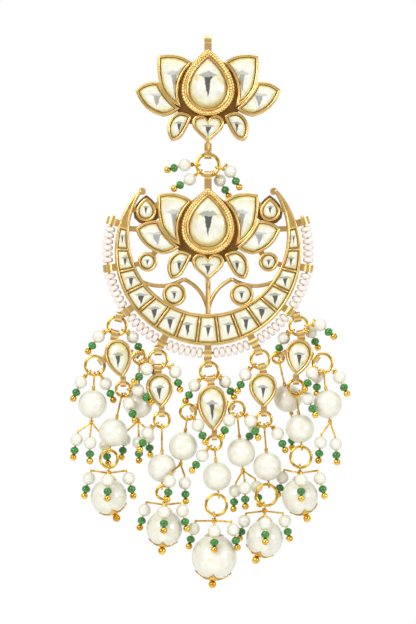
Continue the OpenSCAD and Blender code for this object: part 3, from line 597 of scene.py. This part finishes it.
def crescent_rims():
    """Rims of the crescent: its two edges, the bars between its stones, corner and round seats, vines."""
    out = []
    reach = np.linspace(180 - HORN, 360 + HORN, 200)
    for r in (np.full(len(reach), RIM_R - EDGE[1]), crescent_inner(reach) + EDGE[1]):
        line = MOON + r[:, None] * np.stack([cos(reach), sin(reach)], -1)
        out.append(swept(upright(line, -FRONT), *EDGE, closed=False))
    step = (540 - 2 * BAND_FROM) / CELLS
    for a in BAND_FROM + step * np.arange(CELLS + 1):
        ends = np.array([crescent_inner(a) + RIM[0], RIM_R - RIM[0]])[:, None] * [[cos(a), sin(a)]] + MOON
        out.append(swept(upright(resampled(ends, 4, False), -FRONT), *BAR, closed=False))
    for s in (1, -1):
        seat = inset(drop(CORNER_W, CORNER_H, 60), RIM_W / 2) + CORNER_AT * [s, 1]
        out.append(swept(resampled(upright(seat, -FRONT), 60), *RIM))
        for x, z, r in ROUNDS:
            a = around(60)
            ring = np.array([s * x, z]) + (r - RIM_W / 2) * np.stack([np.cos(a), np.sin(a)], -1)
            out.append(swept(upright(ring, -FRONT), *RIM))
        for a, b, bow in VINES:
            line = bowed(np.array(a) * [s, 1], np.array(b) * [s, 1], s * bow, np.linspace(0, 1, 24))
            out.append(swept(upright(line, -FRONT * VINE_RISE), *VINE, closed=False))
    stem = upright(resampled(STEM_LINE, 12, False), -FRONT * STEM_RISE)
    return out + [swept(stem, *STEM, closed=False)]


# turns of a wound wire, half width of the coil, half width of its wire, rings along it, sides of the wire
STRAND_COIL, END_COIL = (3, 0.3, 0.11, 36, 6), (3, 0.36, 0.11, 36, 6)
DANGLE_COIL, CROWN_COIL = (2, 0.27, 0.1, 20, 5), (3, 0.42, 0.13, 36, 6)
# where each starts: above a strand's pearl, from a dangle's ring, up from a cluster's knot, and down from
# the foot of the ring over a bottom pearl
STRAND_WRAP, DANGLE_WRAP, END_WRAP, CROWN_WRAP = 0.78, 0.86, 0.45, 0.95
UP = np.array([0, 0, 1.0])


def coil(start, way, turns, r, wire, steps, n):
    """Wire wound round a pin: a circle carried along a helix about the way, its turns side by side."""
    t = np.linspace(0, 1, steps)
    aside = unit(np.cross(way, [0.3, 1.0, 0.2]))
    other = np.cross(way, aside)
    a = t * turns * 2 * np.pi
    pitch = 2.1 * wire
    axis = start + way * (t * turns * pitch)[:, None]
    spoke = np.cos(a)[:, None] * aside + np.sin(a)[:, None] * other
    path = axis + r * spoke
    side = np.cross(unit(np.gradient(path, axis=0)), spoke)
    b = around(n)[None, :, None]
    rings = path[:, None] + wire * (np.cos(b) * spoke[:, None] + np.sin(b) * side[:, None])
    return skinned(rings, path[[0, -1]])


# Settings that a user may change

class GoldSettings(bpy.types.PropertyGroup):
    rim: tint("#F2D08A", "Rim gold", "Colour of the raised rims")
    # painted shade: the darker gold painted into the seats between the rims
    painted_recess_shade: tint("#8F6228", "Recess gold", "Colour deep between the rims")
    wire: tint("#F6CE5C", "Wire gold", "Colour of rings and pins")
    wire_shade: tint("#CC952C", "Wire gold, thin", "Colour of rings and pins where the plate is thin")
    turns: IntProperty(name="Rope turns", description="Turns of the rope round each drop", default=60, min=20)


class StoneSettings(bpy.types.PropertyGroup):
    heart: tint("#FFFEF9", "Stone white", "Colour over the foil's middle")
    between: tint("#FAF7DC", "Stone between", "Tinge between middle and rim")
    edge: tint("#EFE3A0", "Stone edge", "Pale yellow near the rim")
    # painted shade: the grey T, standing for the foil's dark reflection where it folds
    painted_fold_shade: tint("#55534D", "Foil wedge", "Grey of the turned foil")


class PearlSettings(bpy.types.PropertyGroup):
    body: tint("#F7F5EA", "Pearl cream", "Colour of the pearls")
    # painted shade with a faint green-yellow tinge at a pearl's edge
    shade: tint("#B4B58C", "Pearl edge", "Green-yellow tinge at a pearl's edge")
    seed: tint("#FCF3EE", "Seed pearl", "Colour of the border seeds")
    # painted shade with a faint pink tinge at a seed's edge
    seed_shade: tint("#E2C2B2", "Seed pearl edge", "Pink tinge at the edge of a border seed")
    green: tint("#238A1C", "Green glass", "Colour of the green seeds")
    green_mm: FloatProperty(name="Green seed radius", description="Radius in mm", default=0.92, min=0.5)
    seeds: IntProperty(name="Seeds a gap", description="Seed beads between two collars", default=6, min=3)


class StageSettings(bpy.types.PropertyGroup):
    floor: tint("#F4F4F2", "Floor", "Colour of the floor")
    lens: FloatProperty(name="Lens", description="Focal length in mm", default=100, unit="CAMERA")
    fill: FloatProperty(name="Fill", description="Share of the picture's height that the earring fills",
                        default=0.9, subtype="FACTOR")


# Pieces

class CHAND_OT_metal(bpy.types.Operator):
    """Gold on the settings, rings and pins that the part brings"""
    bl_idname = "chand.metal"
    bl_label = "Plate the metal"

    def execute(self, context):
        gold = context.scene.chand_gold
        satin, bright = satin_gold(gold), bright_gold(gold)
        for node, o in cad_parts.items():
            cast = node.endswith("frame") or "setting" in node
            if cast or node.endswith(("ring", "rings")) or "_pin" in node:
                o.data.materials.clear()
                o.data.materials.append(satin if cast else bright)
        return {"FINISHED"}


class CHAND_OT_rims(bpy.types.Operator):
    """Half-round rims and rope borders on the settings"""
    bl_idname = "chand.rims"
    bl_label = "Round the rims"

    def execute(self, context):
        gold = context.scene.chand_gold
        satin = satin_gold(gold)
        put("stud_rims", merged(lotus_rims(STUD_Z) + rope(STUD_Z, gold.turns)), satin, STUD)
        put("chand_rims", merged(lotus_rims(CHAND_Z) + rope(CHAND_Z, gold.turns) + crescent_rims()), satin,
            HANGING)
        pears = []
        for c, (_, _, lean, w, h) in zip(pear_places()[1], PEARS):
            turn = np.array([[cos(lean), sin(lean)], [-sin(lean), cos(lean)]])
            line = inset(-drop(w, h, 80), RIM_W / 2) @ turn + c
            pears.append(swept(resampled(upright(line, -FRONT), 70), *RIM))
        put("pear_rims", merged(pears), satin, HANGING)
        return {"FINISHED"}


def whole(m):
    """The corners and triangles of a mesh of loose triangles, with corners at one place made one."""
    m.calc_loop_triangles()
    co, tri = np.empty(len(m.vertices) * 3), np.empty(len(m.loop_triangles) * 3, int)
    m.vertices.foreach_get("co", co)
    m.loop_triangles.foreach_get("vertices", tri)
    co = co.reshape(-1, 3)
    _, first, key = np.unique(np.round(co * 1e6).astype(int), axis=0, return_index=True, return_inverse=True)
    tri = key.ravel()[tri].reshape(-1, 3)
    real = (tri[:, 0] != tri[:, 1]) & (tri[:, 1] != tri[:, 2]) & (tri[:, 2] != tri[:, 0])
    return co[first], tri[real]


def fanned(co, tris):
    """A petal's hollow back and table laid again as fans, so that no triangle folds over the hollow.
    Each ring of corners is the girdle scaled by s about c, so its mean is s * mean + (1 - s) * c, and c
    follows from the means of the girdle and of the table, whose s is TABLE."""
    rows = np.unique(co[:, 1].round(6))
    ring = [np.abs(co[:, 1] - y) < 1e-6 for y in rows]
    table, girdle, back = ring[0], ring[-2], ring[-1]
    c = (co[table].mean(0) - TABLE * co[girdle].mean(0)) / (1 - TABLE)
    tris = tris[~table[tris].all(1) & ~back[tris].all(1)]
    edges = np.concatenate([tris[:, [0, 1]], tris[:, [1, 2]], tris[:, [2, 0]]])
    free = edges[~np.isin(edges @ (len(co), 1), edges @ (1, len(co)))]
    ends = [(c[0], rows[0], c[2]), (c[0], rows[-1], c[2])]
    middle = np.where(table[free[:, 0]], len(co), len(co) + 1)
    return np.concatenate([co, ends]), np.concatenate([tris, np.stack([free[:, 1], free[:, 0], middle], -1)])


def map_stones(m, co, tris, fold):
    """Two maps for loose stones. cut runs from -1 to 1 over a stone's width and height. rim holds the
    distance from its middle as a share of its reach that way, then the strength of the painted shade in the
    foil's fold.
    Stones are told apart by shared corners."""
    stone = np.arange(len(co))
    while True:
        low = stone[tris].min(1)
        new = stone.copy()
        np.minimum.at(new, tris.ravel(), np.repeat(low, 3))
        if (new == stone).all():
            break
        stone = new
    cut, rim = np.zeros((len(co), 2)), np.zeros((len(co), 2))
    sectors = 16
    for first in np.unique(stone):
        mine = stone == first
        p = co[mine][:, [0, 2]]
        d = p - (p.min(0) + p.max(0)) / 2
        cut[mine] = d / (np.ptp(p, 0) / 2)
        a = (np.arctan2(d[:, 1], d[:, 0]) / (2 * np.pi) * sectors).round().astype(int) % sectors
        r = np.linalg.norm(d, axis=1)
        reach = np.zeros(sectors)
        np.maximum.at(reach, a, r)
        rim[mine] = np.stack([r / np.maximum(reach[a], 1e-6), np.full(len(r), fold)], -1)
    corners = np.empty(len(m.loops), int)
    m.loops.foreach_get("vertex_index", corners)
    for name, values in (("cut", cut), ("rim", rim)):
        m.uv_layers.new(name=name).data.foreach_set("uv", values[corners].ravel())


class CHAND_OT_stones(bpy.types.Operator):
    """Foil-backed stones in their seats: the part's own stones, joined into whole meshes and mapped"""
    bl_idname = "chand.stones"
    bl_label = "Foil the stones"

    def execute(self, context):
        glass = foiled_glass(context.scene.chand_stone)
        for node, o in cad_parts.items():
            if not (node.endswith(("stone", "stones")) or "_petal_" in node or "_leaf_" in node):
                continue
            verts, tris = whole(o.data)
            if "_petal_" in node:
                verts, tris = fanned(verts, tris)
            body = STUD if node.startswith("stud") else HANGING
            shape = (verts / MM, np.zeros((0, 4), int), tris)
            piece = put(node + "_cut", shape, glass, body, False)
            map_stones(piece.data, verts, tris, PETAL_FOLD_SHADE if "_petal_" in node else 1.0)
            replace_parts(piece, node)
        return {"FINISHED"}


class CHAND_OT_seeds(bpy.types.Operator):
    """Seed beads between the collars of the crescent"""
    bl_idname = "chand.seeds"
    bl_label = "String the seed beads"

    def execute(self, context):
        pearls = context.scene.chand_pearl
        clear = 0.8                     # degrees free on each side of a collar
        width = (COLLAR_STEP - COLLAR_W - 2 * clear) / pearls.seeds
        first = COLLAR_FROM + COLLAR_W / 2 + clear + width * (np.arange(pearls.seeds) + 0.5)
        angles = (first + COLLAR_STEP * np.arange(GAPS)[:, None]).ravel()
        places = upright(MOON + STRING_R * np.stack([cos(angles), sin(angles)], -1), -DEPTH)
        ways = np.stack([-sin(angles), np.zeros(len(angles)), cos(angles)], -1)
        # a bead fills 0.985 of its room, and its side is flatter than an ellipse's
        half = STRING_R * np.radians(width) / 2 * 0.985
        a = np.linspace(-1, 1, 11)
        profile = np.stack([SEED_R * (1 - np.abs(a) ** 3.4) ** 0.5, half * a], -1)
        lustre = pearl_lustre("lustred glass seed bead", pearls.seed, pearls.seed_shade)
        beads = put("seed_beads", copies(turned(profile, 18), places, ways), lustre, HANGING)
        past = 3.6                      # degrees of thread past the outer collars' middles
        t = np.linspace(COLLAR_FROM - past, COLLAR_FROM + COLLAR_STEP * GAPS + past, 90)
        line = upright(MOON + STRING_R * np.stack([cos(t), sin(t)], -1), -DEPTH)
        thread = put("seed_thread", swept(line, THREAD_R, THREAD_R, 8, closed=False),
                     bright_gold(context.scene.chand_gold), HANGING)
        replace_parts(beads, "seed_string")
        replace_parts(thread, "seed_string")
        return {"FINISHED"}


class CHAND_OT_pearls(bpy.types.Operator):
    """Smooth pearls on strands, dangles and bottom pins, in place of the plain CAD ones"""
    bl_idname = "chand.pearls"
    bl_label = "String the pearls"

    def execute(self, context):
        pearls = context.scene.chand_pearl
        lustre = pearl_lustre("lacquered shell pearl", pearls.body, pearls.shade)
        strands = strand_places()
        big = turned(round_profile(1, 1, 19), 28)
        for name, group in (("left", strands[:LEFT_STRANDS]), ("right", strands[LEFT_STRANDS:])):
            shape = copies(big, [s[1] for s in group], [s[2] for s in group], [MID_R] * len(group))
            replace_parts(put("strand_pearls_" + name, shape, lustre, HANGING), "mid_pearls_" + name)
        for i, (x, z, r, lean, *_) in enumerate(BOTTOMS):
            shape = copies(big, [[x, -DEPTH, z]], [leaning(lean)], [r])
            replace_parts(put(f"end_pearl_{i + 1}", shape, lustre, HANGING), f"bottom_pearl_{i + 1}")
        little = turned(round_profile(SMALL_R, SMALL_R, 13), 18)
        names = (("ring_small_pearls", "dangle_pearls"), ("end_small_pearls", "cluster_pearls"),
                 ("crown_small_pearls", "crown_pearls"))
        for (name, node), group in zip(names, small_places()):
            shape = copies(little, [g[0] for g in group], [g[1] for g in group])
            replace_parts(put(name, shape, lustre, HANGING), node)
        return {"FINISHED"}


class CHAND_OT_greens(bpy.types.Operator):
    """A green glass seed under every small pearl"""
    bl_idname = "chand.greens"
    bl_label = "Thread the green seeds"

    def execute(self, context):
        pearls = context.scene.chand_pearl
        group = [g for part in small_places() for g in part]
        r = pearls.green_mm
        seed = turned(round_profile(r, r * GREEN_FLAT, 11), 14)
        put("green_seeds", copies(seed, [p + w * GREEN_STEP for p, w in group], [w for _, w in group]),
            green_glass(pearls.green), HANGING)
        return {"FINISHED"}


# a cap's outer and inner wall over the ball, then reach in radians and petals of the lower and upper cap
CAP_OUT, CAP_IN = 0.2, 0.05
LOW_CAP, TOP_CAP = (0.9, 4), (0.42, 6)


def petal_cap(r, reach, petals, n=64, rows=9):
    """A thin cup of pointed petals over a ball's pole: it follows the ball of radius r out to an angle
    that falls from each tip as a power of a sine, and leaves a small eye at the pole for the pin."""
    a = around(n)
    edge = reach * (1 - 0.5 * np.abs(np.sin(a * petals / 2)) ** 0.6)
    t = np.linspace(0.06, 1, rows)[:, None] * edge[None]
    ball = np.stack([np.sin(t) * np.cos(a), np.sin(t) * np.sin(a), np.cos(t)], -1)
    verts, quads, none = skinned(np.concatenate([(r + CAP_OUT) * ball, (r + CAP_IN) * ball[::-1]]))
    # the rings run down from the pole, so each face is turned round to look outward
    return verts, quads[:, [0, 3, 2, 1]], none


class CHAND_OT_caps(bpy.types.Operator):
    """Petalled caps above and below each bottom pearl"""
    bl_idname = "chand.caps"
    bl_label = "Cap the bottom pearls"

    def execute(self, context):
        gold = bright_gold(context.scene.chand_gold)
        for i, (x, z, r, lean, *_) in enumerate(BOTTOMS):
            middle = [x, -DEPTH, z]
            both = merged([copies(petal_cap(r, *LOW_CAP), [middle], [leaning(lean)]),
                           copies(petal_cap(r, *TOP_CAP), [middle], [UP])])
            put(f"petal_caps_{i + 1}", both, gold, HANGING)
        return {"FINISHED"}


class CHAND_OT_coils(bpy.types.Operator):
    """Wire wound round each pin below its eye"""
    bl_idname = "chand.coils"
    bl_label = "Wind the pins"

    def execute(self, context):
        strands = strand_places()
        wound = [coil(pearl - way * (MID_R + STRAND_WRAP), way, *STRAND_COIL) for _, pearl, way, _ in strands]
        wound += [coil(eye + arm * DANGLE_WRAP, arm, *DANGLE_COIL) for eye, arm in dangle_arms()]
        for _, _, way, knot in (strands[i] for i, _ in CLUSTERS):
            wound.append(coil(knot - way * END_WRAP, way, *END_COIL))
        for (x, z, r, *_), neck in zip(BOTTOMS, CROWN_NECKS):
            wound.append(coil(np.array([x, -DEPTH, z + r + neck - CROWN_WRAP]), UP, *CROWN_COIL))
        put("pin_coils", merged(wound), bright_gold(context.scene.chand_gold), HANGING)
        return {"FINISHED"}


# in metres: how far the floor lies below the earring, its radius, then each light's name, place, width
# and power
FLOOR_DROP, FLOOR_R = 0.062, 0.24
LIGHTS = (("key", (-0.30, -0.40, 0.22), 0.25, 1.5), ("side", (0.38, -0.30, 0.02), 0.15, 0.6),
          ("top", (0.05, -0.05, 0.45), 0.30, 0.8))


class CHAND_OT_stage(bpy.types.Operator):
    """Pale floor, soft light and the camera"""
    bl_idname = "chand.stage"
    bl_label = "Set the stage"

    def execute(self, context):
        s = context.scene.chand_stage
        scene = context.scene
        low, high = (np.array(v) for v in CAD_BOX)
        a = around(64)
        disc = np.stack([FLOOR_R * np.cos(a), FLOOR_R * np.sin(a), np.full(len(a), low[2] - FLOOR_DROP)], -1)
        m = bpy.data.meshes.new("floor")
        m.from_pydata(disc.tolist(), [], [list(range(len(a)))])
        m.materials.append(matt_board(s.floor))
        floor = bpy.data.objects.new("floor", m)
        scene.collection.objects.link(floor)
        middle = (low + high) / 2
        middle[:2] = 0, 0
        for name, at, size, power in LIGHTS:
            data = bpy.data.lights.new(name, "AREA")
            data.energy, data.size = power, size
            o = bpy.data.objects.new(name, data)
            o.location = at
            o.rotation_euler = (Vector(middle) - Vector(at)).to_track_quat("-Z", "Y").to_euler()
            scene.collection.objects.link(o)
        cam = bpy.data.cameras.new("camera")
        cam.lens = s.lens
        tall = (high[2] - low[2]) / s.fill
        away = tall / 2 / (cam.sensor_width / 2 / cam.lens)
        o = bpy.data.objects.new("camera", cam)
        o.location = (0, low[1] - away, middle[2])
        o.rotation_euler = (np.pi / 2, 0, 0)
        scene.collection.objects.link(o)
        scene.camera = o
        light_world(scene)
        scene.view_settings.view_transform = "Standard"
        return {"FINISHED"}


def light_world(scene):
    """A white studio, bright behind the earring and dimmer behind the camera, so that gold has shade to
    mirror."""
    world = bpy.data.worlds.new("white studio")
    scene.world = world
    world.use_nodes = True
    t = world.node_tree
    t.nodes.clear()
    way = add(t, "ShaderNodeTexCoord")
    xyz = add(t, "ShaderNodeSeparateXYZ", {"Vector": way.outputs["Generated"]})
    tone = add(t, "ShaderNodeMapRange", {"Value": xyz.outputs["Y"]},
               {"From Min": -0.3, "From Max": 0.6, "To Min": 0.5, "To Max": 1.0})
    light = add(t, "ShaderNodeBackground", {"Strength": tone.outputs[0]}, {"Color": (1, 1, 1, 1)})
    add(t, "ShaderNodeOutputWorld", {"Surface": light.outputs[0]})


class CHAND_PT_panel(bpy.types.Panel):
    """The earring's steps and settings"""
    bl_label = "Chandbali"
    bl_space_type = "VIEW_3D"
    bl_region_type = "UI"
    bl_category = "Chandbali"

    def draw(self, context):
        for step in STEPS:
            self.layout.operator(step.bl_idname)
        for name in GROUPS:
            for key in getattr(context.scene, name).__annotations__:
                self.layout.prop(getattr(context.scene, name), key)


GROUPS = {"chand_gold": GoldSettings, "chand_stone": StoneSettings, "chand_pearl": PearlSettings,
          "chand_stage": StageSettings}
STEPS = (CHAND_OT_metal, CHAND_OT_rims, CHAND_OT_stones, CHAND_OT_seeds, CHAND_OT_pearls, CHAND_OT_greens,
         CHAND_OT_caps, CHAND_OT_coils, CHAND_OT_stage)


def register():
    """Adds the classes and hangs each group of settings on the scene."""
    for c in (*GROUPS.values(), *STEPS, CHAND_PT_panel):
        bpy.utils.register_class(c)
    for name, group in GROUPS.items():
        setattr(bpy.types.Scene, name, PointerProperty(type=group))


def unregister():
    """Takes them away again."""
    for name in GROUPS:
        delattr(bpy.types.Scene, name)
    for c in reversed((*GROUPS.values(), *STEPS, CHAND_PT_panel)):
        bpy.utils.unregister_class(c)


def main():
    """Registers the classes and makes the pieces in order."""
    register()
    for step in STEPS:
        group, name = step.bl_idname.split(".")
        getattr(getattr(bpy.ops, group), name)()


if __name__ == "__main__":
    main()
